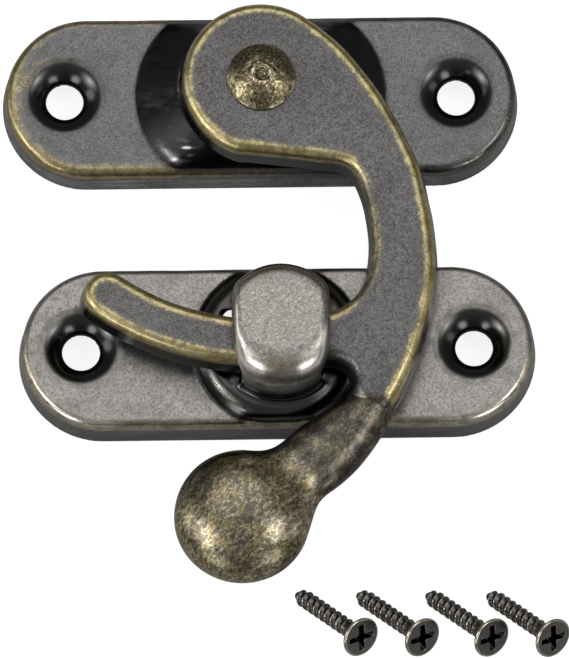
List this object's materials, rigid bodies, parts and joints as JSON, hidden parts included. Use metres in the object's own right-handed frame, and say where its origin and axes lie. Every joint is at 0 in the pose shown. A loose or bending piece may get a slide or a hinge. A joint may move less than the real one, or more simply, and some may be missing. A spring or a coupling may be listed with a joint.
{
  "type": "swing arm hook latch",
  "caption": "Small box latch: a curved swing arm with a round thumb knob turns on a riveted pivot plate and hooks its tongue under the hooded bridge of a keeper plate.",
  "frame": {"origin": "on the mounting plane, on the back of the pivot plate's rim at the middle of the long side that faces the keeper plate; the rivet's axis is 4.15 mm from it along +Y", "axes": "+Z out of the plates' faces; +Y from the keeper plate towards the pivot plate; +X to the right of a person facing the closed latch, the side the arm bulges to"},
  "size_m": [0.0302, 0.0366, 0.0074],
  "materials": {
    "pivot_plate_bronze": "blackened antique bronze plating on pressed steel, satin, brass showing on the worn edges",
    "keeper_plate_bronze": "antique bronze plating on pressed steel, worn to a paler pewter colour, tan edges",
    "arm_bronze": "antique bronze plating on a zinc casting, dark speckled face, brass showing on the rim and knob",
    "rivet_brass": "antique brass, mottled dark, bright spun centre and lower rim",
    "screw_bronze": "dark antique bronze, paler thread crests and head rim"
  },
  "bodies": {
    "root": {"pivot_plate": "pivot_plate_bronze", "keeper_plate": "keeper_plate_bronze", "pivot_rivet": "rivet_brass", "wood_screw_1": "screw_bronze", "wood_screw_2": "screw_bronze", "wood_screw_3": "screw_bronze", "wood_screw_4": "screw_bronze"},
    "arm": {"swing_arm": "arm_bronze"}
  },
  "joints": [
    {"name": "arm_swing", "type": "hinge", "parent": "root", "child": "arm", "pos_m": [0, 0.00415, 0.0047], "axis": [0, 0, 1], "range_deg": [-4.5, 300]}
  ]
}
